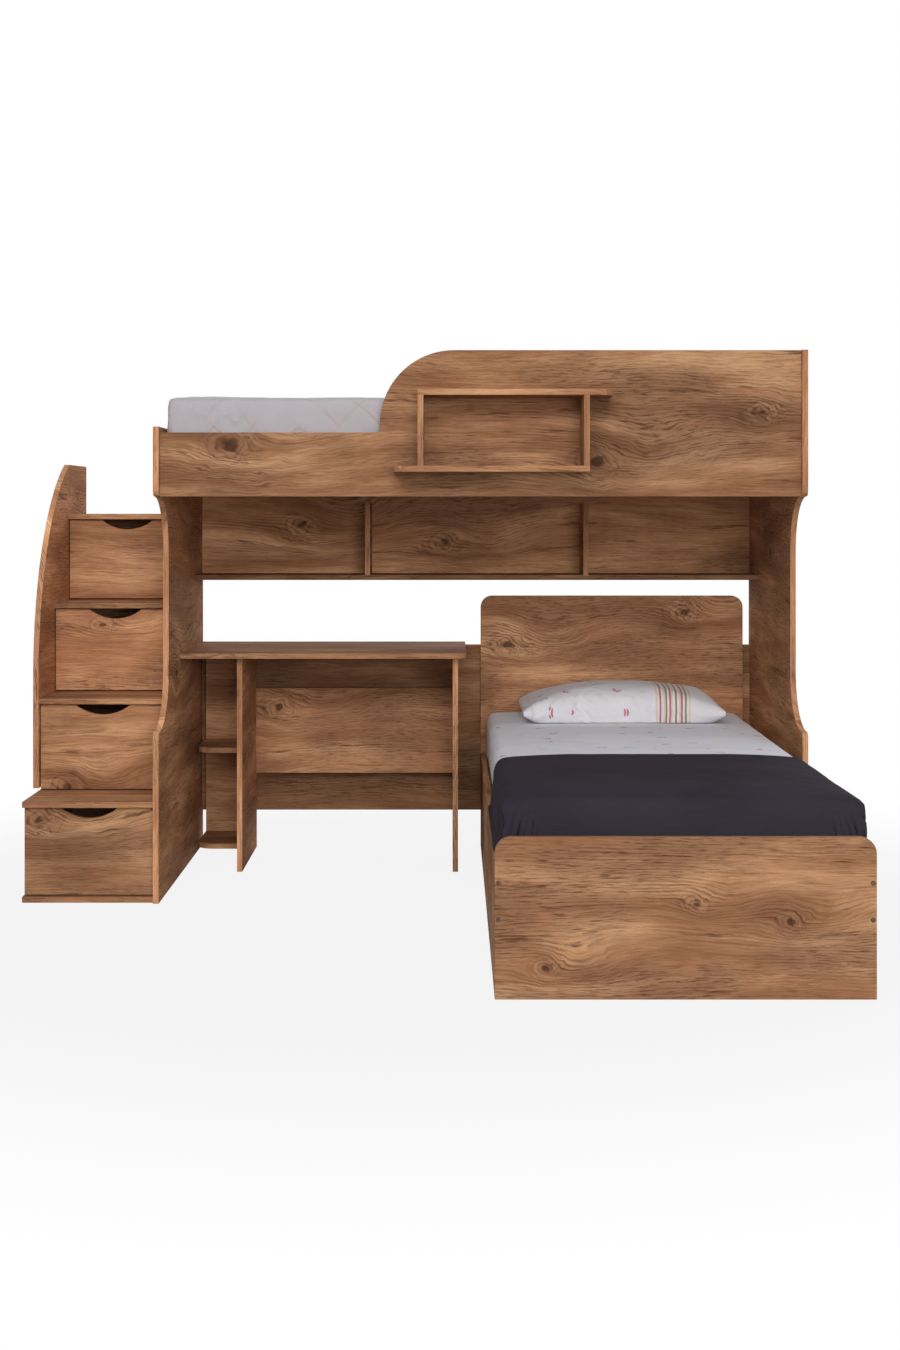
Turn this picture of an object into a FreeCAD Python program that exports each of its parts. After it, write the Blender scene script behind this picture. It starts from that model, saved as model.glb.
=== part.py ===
import FreeCAD, Part
import math
import os
import re

import Sketcher

# A board-built bunk bed: a raised bed on two curved side panels, a stair of drawers at its left,
# a desk and a bookshelf beneath it, and a second bed that stands across it at the right.
# Driving dimensions, in millimetres. Counts and turns say so in their names.
SIZES = {
    # Boards and clearances
    "board": 18,
    "soft_gap": 0.3,
    "cut_overrun": 5,
    # Both mattresses
    "mattress_length": 2000,
    "mattress_width": 900,
    "mattress_height": 188,
    "mattress_crown": 12,
    "mattress_edge_radius": 34,
    "mattress_draw": 5,
    # Slats and the ledgers that carry them
    "slat_thickness": 18,
    "slat_width": 70,
    "ledger_height": 40,
    "ledger_depth": 28,
    # Upper bed
    "upper_end_gap": 5,
    "upper_side_gap": 23,
    "left_panel_rise": 18,
    "rail_height": 200,
    "guard_height": 458,
    "guard_run": 1320,
    "guard_land": 26,
    "guard_setback": 18,
    "deck_rise": 113,
    # Waisted front edge of both side panels
    "shoulder_height": 535,
    "waist_recess": 200,
    "waist_nose_radius": 22,
    "waist_land": 4,
    # Boards at the back and the bookshelf
    "desk_clear_height": 233,
    "bookshelf_depth": 184,
    "bookshelf_gap": 19,
    "upper_back_height": 498,
    "divider_height": 256,
    "side_bay": 606,
    "lower_back_bottom": 128,
    "lower_back_height": 606,
    # Open box of shelves on the guard
    "cubby_rise": 74,
    "cubby_depth": 165,
    "cubby_width": 524,
    "cubby_clear_height": 216,
    "cubby_overhang": 76,
    "cubby_to_right": 675,
    "cubby_corner_radius": 60,
    # Stair
    "stair_width": 412,
    "first_tread_top": 315,
    "stair_to_rail": 57,
    "first_nose": 15,
    "going": 222,
    "nosing": 18,
    "stair_back": 8,
    "stair_panel_lift": 8,
    "stair_panel_rise": 173,
    "stair_panel_setback": 240,
    "stair_panel_straight": 360,
    "stair_panel_sweep": 470,
    # Drawers
    "front_gap": 4,
    "pull_width": 178,
    "pull_depth": 32,
    "box_wall": 12,
    "box_base": 6,
    "box_height": 190,
    "box_lift": 14,
    "box_length_1": 500,
    "box_length_2": 500,
    "box_back_gap_3": 47,
    "box_back_gap_4": 25,
    # Drawer runners
    "runner_space": 13,
    "runner_height": 45,
    "runner_depth": 10,
    "runner_sheet": 1.2,
    "runner_play": 0.3,
    "runner_lift": 60,
    # Desk
    "desk_height": 746,
    "desk_bed_gap": 57,
    "desk_depth": 542,
    "desk_corner_radius": 40,
    "desk_leg_overhang": 28,
    "desk_leg_setback": 50,
    "desk_back_gap": 37,
    "modesty_drop": 148,
    "modesty_height": 308,
    "niche_side_gap": 21,
    "niche_width": 165,
    "niche_depth": 247,
    "niche_low": 42,
    "niche_high": 378,
    "niche_corner_radius": 60,
    # Lower bed
    "lower_side_gap": 12,
    "bed_side_gap": 28,
    "bed_head_gap": 5,
    "bed_foot_gap": 24,
    "headboard_gap": 64,
    "footboard_rise": 70,
    "end_corner_radius": 42,
    "bed_rail_lip": 36,
    "lower_deck_height": 302,
    # Bolts between the lower bed's end boards and rails
    "bolt_drop": 46,
    "bolt_spacing": 92,
    "bolt_radius": 3.5,
    "bolt_head_radius": 6.5,
    "bolt_head_depth": 3,
    "bolt_reach": 27,
    "bolt_bore_depth": 32,
    "bolt_clearance": 0.2,
    # Pillow and throw
    "pillow_length": 690,
    "pillow_depth": 420,
    "pillow_height": 125,
    "pillow_draw": 14,
    "pillow_head_gap": 70,
    "throw_cover": 745,
    "throw_rail_gap": 12.3,
    "throw_thickness": 6,
    "throw_fold_radius": 13,
    "throw_fold_top_radius": 2,
}
SLAT_COUNT = 12
STEP_COUNT = 4

# Places worked out from the sizes. The origin lies on the floor under the middle of the whole bed.
PLACES = {
    "bunk_depth": "guard_setback + 2 * board + 2 * upper_side_gap + mattress_width",
    "bed_width": "mattress_width + 2 * lower_side_gap + 2 * board",
    "inner_length": "mattress_length + 2 * upper_end_gap",
    "overall_length": "3 * board + stair_width + inner_length",
    "overall_depth": "3 * board + mattress_length + bed_head_gap + bed_foot_gap",
    "x_stair": "-overall_length / 2",
    "x_tread": "x_stair + board",
    "x_left": "x_tread + stair_width",
    "x_inner": "x_left + board",
    "x_right": "x_inner + inner_length",
    "y_back": "overall_depth / 2",
    "y_back_board": "y_back - board",
    "y_front": "y_back - bunk_depth",
    "y_guard": "y_front + guard_setback",
    "y_guard_inner": "y_guard + board",
    "y_stair_back": "y_back - stair_back",
    "bookshelf_height": "desk_height + desk_clear_height",
    "bookshelf_top": "bookshelf_height + board",
    "rail_bottom": "bookshelf_top + divider_height + bookshelf_gap",
    "left_panel_height": "rail_bottom + rail_height + left_panel_rise",
    "guard_top": "rail_bottom + guard_height",
    "guard_corner_radius": "guard_height - rail_height - guard_land",
    "upper_deck_height": "rail_bottom + deck_rise",
    "waist_radius": "waist_recess - waist_nose_radius - waist_land",
    "x_cubby_right": "x_right - cubby_to_right",
    "x_cubby_left": "x_cubby_right - cubby_width",
    "cubby_bottom": "rail_bottom + cubby_rise",
    "cubby_floor": "cubby_bottom + board",
    "cubby_ceiling": "cubby_floor + cubby_clear_height",
    "rise": f"(rail_bottom - stair_to_rail - first_tread_top) / {STEP_COUNT - 1}",
    "pull_radius": "(pull_width ^ 2 / 4 + pull_depth ^ 2) / (2 * pull_depth)",
    "x_bed": "x_right - bed_side_gap - bed_width",
    "x_bed_middle": "x_bed + bed_width / 2",
    "x_bed_rail": "x_bed + bed_width - board",
    "desk_length": "x_bed - desk_bed_gap - x_inner",
    "y_desk": "y_back_board - desk_depth",
    "y_desk_leg": "y_desk + desk_leg_setback",
    "y_desk_rear": "y_back_board - desk_back_gap",
    "y_desk_board": "y_desk_rear - board",
    "desk_under": "desk_height - board",
    "modesty_bottom": "desk_under - modesty_drop - modesty_height",
    "x_niche": "x_inner + niche_side_gap",
    "x_desk_left_leg": "x_niche + niche_width",
    "x_desk_right_leg": "x_inner + desk_length - desk_leg_overhang - board",
    "y_niche": "y_desk_board - niche_depth",
    "y_head": "y_back_board - board",
    "y_foot_front": "-overall_depth / 2",
    "y_foot": "y_foot_front + board",
    "headboard_height": "bookshelf_height - headboard_gap",
    "bed_rail_height": "lower_deck_height + bed_rail_lip",
    "footboard_height": "bed_rail_height + footboard_rise",
    "bolt_high": "bed_rail_height - bolt_drop",
    "bolt_low": "bolt_high - bolt_spacing",
    "y_lower_mattress": "y_foot + bed_foot_gap",
    "lower_mattress_base": "lower_deck_height + soft_gap",
    "upper_mattress_base": "upper_deck_height + soft_gap",
    "lower_mattress_top": "lower_mattress_base + mattress_height + mattress_crown",
    "throw_hem": "bed_rail_height + throw_rail_gap - lower_mattress_base",
}
for step in range(1, STEP_COUNT + 1):
    PLACES[f"nose_{step}"] = f"y_front + first_nose + {step - 1} * going"
    PLACES[f"tread_top_{step}"] = f"first_tread_top + {step - 1} * rise"
    PLACES[f"y_box_{step}"] = f"nose_{step} + nosing + board"
    if step > 2:
        PLACES[f"box_length_{step}"] = f"y_stair_back - box_back_gap_{step} - y_box_{step}"
PLACES["stair_panel_bottom"] = "first_tread_top + stair_panel_lift"
PLACES["stair_panel_top"] = f"tread_top_{STEP_COUNT} + stair_panel_rise"

# The pillow's sections: where its flat base ends, how high its seam is, how full its cheeks are.
PILLOW_BASE_SHARE = 0.8
PILLOW_SEAM_SHARE = 0.4
PILLOW_CHEEK_SHARE = 0.96
# Where the throw's folds hang, along its cover from the foot of the bed.
LEFT_FOLD_SHARES = (0.06, 0.13, 0.21, 0.52, 0.86)
RIGHT_FOLD_SHARES = (0.08, 0.35, 0.74)
END_TURNS = (0, 30, 60, 90)
BOLT_LEVELS = ("bolt_low", "bolt_high")
BOLT_OFFSETS = ("board / 2", "bed_width - board / 2")
SAME_POINT = 1e-4
PLANE_AXES = {"XY_Plane": (0, 1), "XZ_Plane": (0, 2), "YZ_Plane": (1, 2)}

document = FreeCAD.newDocument("bunk_bed")
sizes = document.addObject("Spreadsheet::Sheet", "sizes")
for row, (alias, number) in enumerate(SIZES.items(), start=1):
    sizes.set(f"A{row}", str(number))
    sizes.setAlias(f"A{row}", alias)
places = document.addObject("App::VarSet", "places")
OWNERS = {**dict.fromkeys(SIZES, "sizes."), **dict.fromkeys(PLACES, "places.")}
subparts = []


def bind(formula):
    """The formula with each size and place named together with the object that holds it."""
    return re.sub(r"[a-z_]\w*", lambda word: OWNERS.get(word[0], "") + word[0], formula)


for name, formula in PLACES.items():
    places.addProperty("App::PropertyFloat", name)
    places.setExpression(name, bind(formula))
document.recompute()


def measure(formula):
    """The present value of a formula, in millimetres."""
    return float(places.evalExpression(bind(formula)))


def put(item, x, y, z):
    """Bind an object's place to three formulas."""
    for axis, formula in zip("xyz", (x, y, z)):
        item.setExpression(f"Placement.Base.{axis}", bind(formula))


def block(label, x, y, z):
    """A rectangular board; each axis has a start and a size."""
    box = document.addObject("Part::Box", label)
    for side, span in zip(("Length", "Width", "Height"), (x, y, z)):
        box.setExpression(side, bind(span[1]))
    put(box, x[0], y[0], z[0])
    return box


def board(label, x, y, z):
    """A rectangular board that is a sub-part by itself."""
    subparts.append(block(label, x, y, z))


def group(label, pieces):
    """Separate solids that share one node."""
    compound = document.addObject("Part::Compound", label)
    compound.Links = pieces
    subparts.append(compound)


def rod(label, radius, length, x, y, z):
    """A round bar along Y from a starting point."""
    cylinder = document.addObject("Part::Cylinder", label)
    cylinder.Placement.Rotation = FreeCAD.Rotation(FreeCAD.Vector(1, 0, 0), -90)
    cylinder.setExpression("Radius", bind(radius))
    cylinder.setExpression("Height", bind(length))
    put(cylinder, x, y, z)
    return cylinder


def cut(label, base, tool):
    """One solid with another taken out of it."""
    item = document.addObject("Part::Cut", label)
    item.Base = base
    item.Tool = tool
    return item


def add_sketch(body, role, name):
    """An empty sketch on one of the body's own planes."""
    sketch = body.newObject("Sketcher::SketchObject", f"{body.Name}_{name}")
    plane = next(item for item in body.Origin.OriginFeatures if item.Role == role)
    sketch.AttachmentSupport = [(plane, "")]
    sketch.MapMode = "FlatFace"
    return sketch


def tie(sketch, kind, references, formula, name):
    """A named distance or radius of a sketch, bound to a formula."""
    index = sketch.addConstraint(Sketcher.Constraint(kind, *references, measure(formula)))
    sketch.renameConstraint(index, name)
    sketch.setExpression(f"Constraints.{name}", bind(formula))


def pin_point(sketch, geometry, point, u, v, name):
    """Hold a sketch point at two formulas from the sketch's origin."""
    for kind, axis, formula in (("DistanceX", -2, u), ("DistanceY", -1, v)):
        if formula == "0":
            sketch.addConstraint(Sketcher.Constraint("PointOnObject", geometry, point, axis))
        else:
            tie(sketch, kind, (-1, 1, geometry, point), formula, f"{name}_{kind[-1].lower()}")


def pad(body, sketch, thickness, backwards):
    """Give a sketch its board's thickness."""
    feature = body.newObject("PartDesign::Pad", f"{body.Name}_pad")
    feature.Profile = sketch
    feature.Reversed = backwards
    feature.setExpression("Length", bind(thickness))
    document.recompute()


def shaped_board(label, role, corners, place):
    """A board sawn to an outline of straight sides, given by its corners in order."""
    body = document.addObject("PartDesign::Body", label)
    sketch = add_sketch(body, role, "outline")
    points = [FreeCAD.Vector(measure(u), measure(v), 0) for u, v in corners]
    for start, end in zip(points, points[1:] + points[:1]):
        sketch.addGeometry(Part.LineSegment(start, end))
    for index, (u, v) in enumerate(corners):
        previous = (index - 1) % len(corners)
        sketch.addConstraint(Sketcher.Constraint("Coincident", previous, 2, index, 1))
        pin_point(sketch, index, 1, u, v, f"corner_{index}")
    pad(body, sketch, "board", role == "XZ_Plane")
    put(body, *place)
    subparts.append(body)
    return body


def round_corners(body, role, corners, radius, name):
    """Round the edges that stand on the given corners of the outline."""
    first, second = PLANE_AXES[role]
    wanted = [(measure(u), measure(v)) for u, v in corners]
    solid = body.Tip
    edges = []
    for number, edge in enumerate(solid.Shape.Edges, start=1):
        ends = [(vertex.Point[first], vertex.Point[second]) for vertex in edge.Vertexes]
        if any(all(math.dist(end, corner) < SAME_POINT for end in ends) for corner in wanted):
            edges.append(f"Edge{number}")
    fillet = body.newObject("PartDesign::Fillet", f"{body.Name}_{name}")
    fillet.Base = (solid, edges)
    fillet.setExpression("Radius", bind(radius))
    document.recompute()


def round_cut(body, role, circles, name, depth=None, far_side=False):
    """Cut circles into a board: right through it, or to a depth from its near or far side."""
    sketch = add_sketch(body, role, name)
    if far_side:
        sketch.setExpression("AttachmentOffset.Base.z", bind("-board"))
    for index, (u, v, radius) in enumerate(circles):
        centre = FreeCAD.Vector(measure(u), measure(v), 0)
        sketch.addGeometry(Part.Circle(centre, FreeCAD.Vector(0, 0, 1), measure(radius)))
        pin_point(sketch, index, 3, u, v, f"centre_{index}")
        tie(sketch, "Radius", (index,), radius, f"radius_{index}")
    volume = body.Shape.Volume
    pocket = body.newObject("PartDesign::Pocket", f"{body.Name}_{name}_cut")
    pocket.Profile = sketch
    pocket.Reversed = far_side
    if depth:
        pocket.setExpression("Length", bind(depth))
    else:
        pocket.Type = "ThroughAll"
    document.recompute()
    if body.Shape.Volume >= volume:
        raise RuntimeError(f"{body.Label}: {name} cuts nothing")


def side_panel(label, height, x):
    """A side of the bunk, with a waist between its shoulder and the rail."""
    front = [("0", "rail_bottom"), ("0", "shoulder_height")]
    waist = [("waist_recess", "rail_bottom"), ("waist_recess", "shoulder_height")]
    foot = [("0", "0"), ("bunk_depth", "0"), ("bunk_depth", height), ("0", height)]
    outline = foot + [front[0], waist[0], waist[1], front[1]]
    body = shaped_board(label, "YZ_Plane", outline, (x, "y_front", "0"))
    round_corners(body, "YZ_Plane", waist, "waist_radius", "waist")
    round_corners(body, "YZ_Plane", front, "waist_nose_radius", "noses")


def front_guard():
    """The front rail and the guard, sawn from one board with a swept-up corner."""
    step = "inner_length - guard_run"
    outline = [("0", "0"), ("inner_length", "0"), ("inner_length", "guard_height")]
    outline += [(step, "guard_height"), (step, "rail_height"), ("0", "rail_height")]
    body = shaped_board("front_guard", "XZ_Plane", outline, ("x_inner", "y_guard", "rail_bottom"))
    round_corners(body, "XZ_Plane", [(step, "guard_height")], "guard_corner_radius", "sweep")


def plank(label, length, depth, place, rounded, radius):
    """A shelf board seen in plan, with some of its corners rounded."""
    outline = [("0", "0"), (length, "0"), (length, depth), ("0", depth)]
    body = shaped_board(label, "XY_Plane", outline, place)
    round_corners(body, "XY_Plane", [outline[corner] for corner in rounded], radius, "corners")


def guard_shelves():
    """The open box of shelves on the guard; each shelf runs past one upright."""
    length = "cubby_width + cubby_overhang"
    y = "y_guard - cubby_depth"
    low = ("x_cubby_left - cubby_overhang", y, "cubby_bottom")
    plank("guard_shelf_bottom", length, "cubby_depth", low, [0], "cubby_corner_radius")
    high = ("x_cubby_left", y, "cubby_ceiling")
    plank("guard_shelf_top", length, "cubby_depth", high, [1], "cubby_corner_radius")
    uprights = []
    for side, x in (("left", "x_cubby_left"), ("right", "x_cubby_right - board")):
        upright = block(f"guard_upright_{side}", (x, "board"), (y, "cubby_depth"),
                        ("cubby_floor", "cubby_clear_height"))
        uprights.append(upright)
    group("guard_shelf_uprights", uprights)


def back_and_bookshelf():
    """The two boards along the back, and the bookshelf on the upper one."""
    along = ("x_inner", "inner_length")
    behind = ("y_back_board", "board")
    board("upper_back_panel", along, behind, ("bookshelf_height", "upper_back_height"))
    board("lower_back_panel", along, behind, ("lower_back_bottom", "lower_back_height"))
    depth = ("y_back_board - bookshelf_depth", "bookshelf_depth")
    board("bookshelf_board", along, depth, ("bookshelf_height", "board"))
    for side, x in (("left", "x_inner + side_bay"), ("right", "x_right - side_bay - board")):
        board(f"bookshelf_divider_{side}", (x, "board"), depth, ("bookshelf_top", "divider_height"))


def slats(label, start, room, make):
    """A row of slats, evenly spread over the room that they have."""
    pitch = f"({room} - slat_width) / {SLAT_COUNT - 1}"
    row = range(SLAT_COUNT)
    group(label, [make(f"{label}_{index + 1}", f"{start} + {index} * {pitch}") for index in row])


def upper_base():
    """Ledgers and slats under the upper mattress."""
    ledger_z = ("upper_deck_height - slat_thickness - ledger_height", "ledger_height")
    ledgers = []
    for side, y in (("front", "y_guard_inner"), ("back", "y_back_board - ledger_depth")):
        ledger = block(f"upper_ledger_{side}", ("x_inner", "inner_length"), (y, "ledger_depth"), ledger_z)
        ledgers.append(ledger)
    group("upper_ledgers", ledgers)
    across = ("y_guard_inner", "y_back_board - y_guard_inner")
    height = ("upper_deck_height - slat_thickness", "slat_thickness")
    slats("upper_slats", "x_inner", "inner_length",
          lambda label, x: block(label, (x, "slat_width"), across, height))


def stair_panel():
    """The outer panel of the stair: upright at the front, then sweeping back to its top in one arc."""
    body = document.addObject("PartDesign::Body", "stair_side_panel")
    sketch = add_sketch(body, "YZ_Plane", "outline")
    depth = "bunk_depth - stair_panel_setback"
    height = "stair_panel_top - stair_panel_bottom"
    straight, sweep = measure("stair_panel_straight"), measure("stair_panel_sweep")
    climb = measure(height) - straight
    radius = (sweep ** 2 + climb ** 2) / (2 * sweep)
    corners = [(0, 0), (measure(depth), 0), (measure(depth), measure(height)), (sweep, measure(height))]
    points = [FreeCAD.Vector(u, v, 0) for u, v in corners + [(0, straight)]]
    for start, end in zip(points[:3], points[1:4]):
        sketch.addGeometry(Part.LineSegment(start, end))
    circle = Part.Circle(FreeCAD.Vector(radius, straight, 0), FreeCAD.Vector(0, 0, 1), radius)
    sketch.addGeometry(Part.ArcOfCircle(circle, math.atan2(climb, sweep - radius), math.pi))
    sketch.addGeometry(Part.LineSegment(points[4], points[0]))
    for first, second in ((0, 1), (1, 2), (2, 3), (4, 0)):
        sketch.addConstraint(Sketcher.Constraint("Coincident", first, 2, second, 1))
    sketch.addConstraint(Sketcher.Constraint("Tangent", 3, 2, 4, 1))
    pin_point(sketch, 0, 1, "0", "0", "foot")
    pin_point(sketch, 1, 1, depth, "0", "heel")
    pin_point(sketch, 2, 1, depth, height, "back")
    pin_point(sketch, 3, 1, "stair_panel_sweep", height, "crest")
    pin_point(sketch, 4, 1, "0", "stair_panel_straight", "spring")
    pad(body, sketch, "board", False)
    put(body, "x_stair", "y_front + stair_panel_setback", "stair_panel_bottom")
    subparts.append(body)


def stair_carcass():
    """Treads that run to the back, and the low box that the first of them closes."""
    across = ("x_tread", "stair_width")
    for step in range(1, STEP_COUNT + 1):
        depth = (f"nose_{step}", f"y_stair_back - nose_{step}")
        board(f"stair_tread_{step}", across, depth, (f"tread_top_{step} - board", "board"))
    board("stair_base", across, ("nose_1", "y_stair_back - nose_1"), ("0", "board"))
    start = "y_box_1 + soft_gap"
    board("stair_base_side", ("x_tread", "board"), (start, f"y_stair_back - ({start})"),
          ("board", "tread_top_1 - 2 * board"))
    board("stair_back", across, ("y_stair_back", "stair_back"), ("0", f"tread_top_{STEP_COUNT}"))


def channel(label, x, y, z, open_side):
    """A folded steel channel along Y, open to the left or to the right."""
    bar = block(f"{label}_bar", x, y, z)
    inner = "-cut_overrun" if open_side == "left" else "runner_sheet"
    room = block(f"{label}_room", (f"{x[0]} + {inner}", f"{x[1]} - runner_sheet + cut_overrun"),
                 (f"{y[0]} - cut_overrun", f"{y[1]} + 2 * cut_overrun"),
                 (f"{z[0]} + runner_sheet", f"{z[1]} - 2 * runner_sheet"))
    return cut(label, bar, room)


def drawer(step):
    """One drawer: front with a half-moon pull, box, and the slides that it runs on."""
    name = f"drawer_{step}"
    length = f"box_length_{step}"
    floor = "board" if step == 1 else f"tread_top_{step - 1}"
    bottom = f"{floor} + front_gap"
    height = f"tread_top_{step} - board - front_gap - ({bottom})"
    width = "stair_width - 2 * front_gap"
    outline = [("0", "0"), (width, "0"), (width, height), ("0", height)]
    place = ("x_tread + front_gap", f"nose_{step} + nosing", bottom)
    front = shaped_board(f"{name}_front", "XZ_Plane", outline, place)
    pull = (f"({width}) / 2", f"{height} + pull_radius - pull_depth", "pull_radius")
    round_cut(front, "XZ_Plane", [pull], "pull")

    left_wall = "x_tread + board" if step == 1 else "x_tread"
    x_box = f"{left_wall} + runner_space"
    box_width = f"(x_left - runner_space - ({x_box}))"
    box_z = f"{bottom} + box_lift"
    y_box = f"y_box_{step}"
    walls = (f"{box_z} + box_base", "box_height - box_base")
    x_far = "x_left - runner_space - box_wall"
    sides = []
    for side, x in (("left", x_box), ("right", x_far)):
        sides.append(block(f"{name}_side_{side}", (x, "box_wall"), (y_box, length), walls))
    group(f"{name}_sides", sides)
    between = (f"{x_box} + box_wall", f"{box_width} - 2 * box_wall")
    board(f"{name}_back", between, (f"{y_box} + {length} - box_wall", "box_wall"), walls)
    board(f"{name}_bottom", (x_box, box_width), (y_box, length), (box_z, "box_base"))

    runner_z = f"{box_z} + runner_lift"
    slide_reach = "runner_space - runner_sheet - runner_play"
    slide_z = (f"{runner_z} + runner_sheet + runner_play",
               "runner_height - 2 * runner_sheet - 2 * runner_play")
    left_slide = channel(f"{name}_slide_left", (f"{x_box} - ({slide_reach})", slide_reach), (y_box, length),
                         slide_z, "left")
    right_slide = channel(f"{name}_slide_right", ("x_left - runner_space", slide_reach), (y_box, length),
                          slide_z, "right")
    group(f"{name}_slides", [left_slide, right_slide])
    fixed_y = (f"{y_box} + runner_play", f"{length} - runner_play")
    fixed_z = (runner_z, "runner_height")
    left_runner = channel(f"{name}_runner_left", (left_wall, "runner_depth"), fixed_y, fixed_z, "right")
    right_runner = channel(f"{name}_runner_right", ("x_left - runner_depth", "runner_depth"), fixed_y,
                           fixed_z, "left")
    return [left_runner, right_runner]


def desk():
    """The desk under the bunk, with a narrow open shelf beside its left leg."""
    plank("desk_top", "desk_length", "desk_depth", ("x_inner", "y_desk", "desk_under"), [1],
          "desk_corner_radius")
    leg_y = ("y_desk_leg", "y_desk_rear - y_desk_leg")
    rear = ("y_desk_board", "board")
    for side in ("left", "right"):
        board(f"desk_{side}_leg", (f"x_desk_{side}_leg", "board"), leg_y, ("0", "desk_under"))
    between = ("x_desk_left_leg + board", "x_desk_right_leg - x_desk_left_leg - board")
    board("desk_modesty_panel", between, rear, ("modesty_bottom", "modesty_height"))
    board("desk_niche_back", ("x_niche", "niche_width"), rear, ("0", "desk_under"))
    for level in ("low", "high"):
        plank(f"desk_niche_shelf_{level}", "niche_width", "niche_depth",
              ("x_niche", "y_niche", f"niche_{level}"), [0], "niche_corner_radius")


def end_board(label, height, y, far_side):
    """A head or foot board with rounded top corners and bolt holes over the rails' ends."""
    outline = [("0", "0"), ("bed_width", "0"), ("bed_width", height), ("0", height)]
    body = shaped_board(label, "XZ_Plane", outline, ("x_bed", y, "0"))
    round_corners(body, "XZ_Plane", outline[2:], "end_corner_radius", "corners")
    spots = [(u, v) for u in BOLT_OFFSETS for v in BOLT_LEVELS]
    round_cut(body, "XZ_Plane", [(u, v, "bolt_radius + bolt_clearance") for u, v in spots], "bolt_holes")
    round_cut(body, "XZ_Plane", [(u, v, "bolt_head_radius + bolt_clearance") for u, v in spots], "bolt_seats",
              "bolt_head_depth", far_side)


def bed_rail(side, x):
    """A side rail with bored ends."""
    run = ("y_foot", "y_head - y_foot")
    plain = block(f"bed_{side}_rail_plain", (x, "board"), run, ("0", "bed_rail_height"))
    holes = []
    for end, y in (("foot", "y_foot - cut_overrun"), ("head", "y_head - bolt_bore_depth")):
        for level in BOLT_LEVELS:
            hole = rod(f"bed_{side}_rail_{end}_{level}", "bolt_radius + bolt_clearance",
                       "bolt_bore_depth + cut_overrun", f"{x} + board / 2", y, level)
            holes.append(hole)
    bores = document.addObject("Part::Compound", f"bed_{side}_rail_bores")
    bores.Links = holes
    subparts.append(cut(f"bed_{side}_rail", plain, bores))


def bed_bolts():
    """The bolts of the lower bed, heads sunk flush in the end boards."""
    bolts = []
    shank = "board - bolt_head_depth + bolt_reach"
    for end, y_head_start, y_shank_start in (
            ("foot", "y_foot_front", "y_foot_front + bolt_head_depth"),
            ("head", "y_back_board - bolt_head_depth", f"y_back_board - bolt_head_depth - ({shank})")):
        for side, offset in zip(("left", "right"), BOLT_OFFSETS):
            for level in BOLT_LEVELS:
                name = f"bed_bolt_{end}_{side}_{level}"
                x = f"x_bed + {offset}"
                bolt = document.addObject("Part::Fuse", name)
                bolt.Base = rod(f"{name}_head", "bolt_head_radius", "bolt_head_depth", x, y_head_start, level)
                bolt.Tool = rod(f"{name}_shank", "bolt_radius", shank, x, y_shank_start, level)
                bolts.append(bolt)
    group("bed_bolts", bolts)


def lower_bed():
    """The bed that stands across the bunk: end boards, rails, ledgers, slats and bolts."""
    end_board("headboard", "headboard_height", "y_head", True)
    end_board("footboard", "footboard_height", "y_foot_front", False)
    bed_rail("left", "x_bed")
    bed_rail("right", "x_bed_rail")
    run = ("y_foot", "y_head - y_foot")
    ledger_z = ("lower_deck_height - slat_thickness - ledger_height", "ledger_height")
    ledgers = []
    for side, x in (("left", "x_bed + board"), ("right", "x_bed_rail - ledger_depth")):
        ledgers.append(block(f"lower_ledger_{side}", (x, "ledger_depth"), run, ledger_z))
    group("lower_ledgers", ledgers)
    across = ("x_bed + board", "bed_width - 2 * board")
    height = ("lower_deck_height - slat_thickness", "slat_thickness")
    slats("lower_slats", run[0], f"({run[1]})",
          lambda label, y: block(label, across, (y, "slat_width"), height))
    bed_bolts()


def arc(start, middle, end):
    """An edge through three points."""
    return Part.Arc(*(FreeCAD.Vector(*point) for point in (start, middle, end))).toShape()


def line(start, end):
    """A straight edge."""
    return Part.LineSegment(FreeCAD.Vector(*start), FreeCAD.Vector(*end)).toShape()


def mattress_section(x, inset, draw, grow):
    """A crowned section with rounded corners, square to the mattress's length."""
    radius = measure("mattress_edge_radius") + grow
    half = measure("mattress_width") / 2 + grow - inset - draw
    low, high = inset - grow, measure("mattress_height") + grow - inset
    crest = high + measure("mattress_crown")
    bend = radius * (1 - math.sqrt(0.5))
    flat = half - radius
    return Part.Wire([
        line((x, -flat, low), (x, flat, low)),
        arc((x, flat, low), (x, half - bend, low + bend), (x, half, low + radius)),
        line((x, half, low + radius), (x, half, high - radius)),
        arc((x, half, high - radius), (x, half - bend, high - bend), (x, flat, high)),
        arc((x, flat, high), (x, 0, crest), (x, -flat, high)),
        arc((x, -flat, high), (x, -half + bend, high - bend), (x, -half, high - radius)),
        line((x, -half, high - radius), (x, -half, low + radius)),
        arc((x, -half, low + radius), (x, -half + bend, low + bend), (x, -flat, low)),
    ])


def mattress_solid(grow=0):
    """A mattress along X with rounded ends and sides drawn in between its corners, or one grown all round."""
    length = measure("mattress_length")
    radius = measure("mattress_edge_radius") + grow
    near = []
    for turn in END_TURNS:
        angle = math.radians(turn)
        near.append((radius * (1 - math.cos(angle)) - grow, radius * (1 - math.sin(angle)), 0))
    far = [(length - x, inset, draw) for x, inset, draw in reversed(near)]
    sections = near + [(length / 2, 0, measure("mattress_draw"))] + far
    return Part.makeLoft([mattress_section(x, inset, draw, grow) for x, inset, draw in sections], True, True)


def formed(label, solid, place, turn=0):
    """A soft solid, set down at its place."""
    item = document.addObject("Part::Feature", label)
    item.Shape = solid
    rotation = FreeCAD.Rotation(FreeCAD.Vector(0, 0, 1), turn)
    item.Placement = FreeCAD.Placement(FreeCAD.Vector(*place), rotation)
    subparts.append(item)


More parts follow.
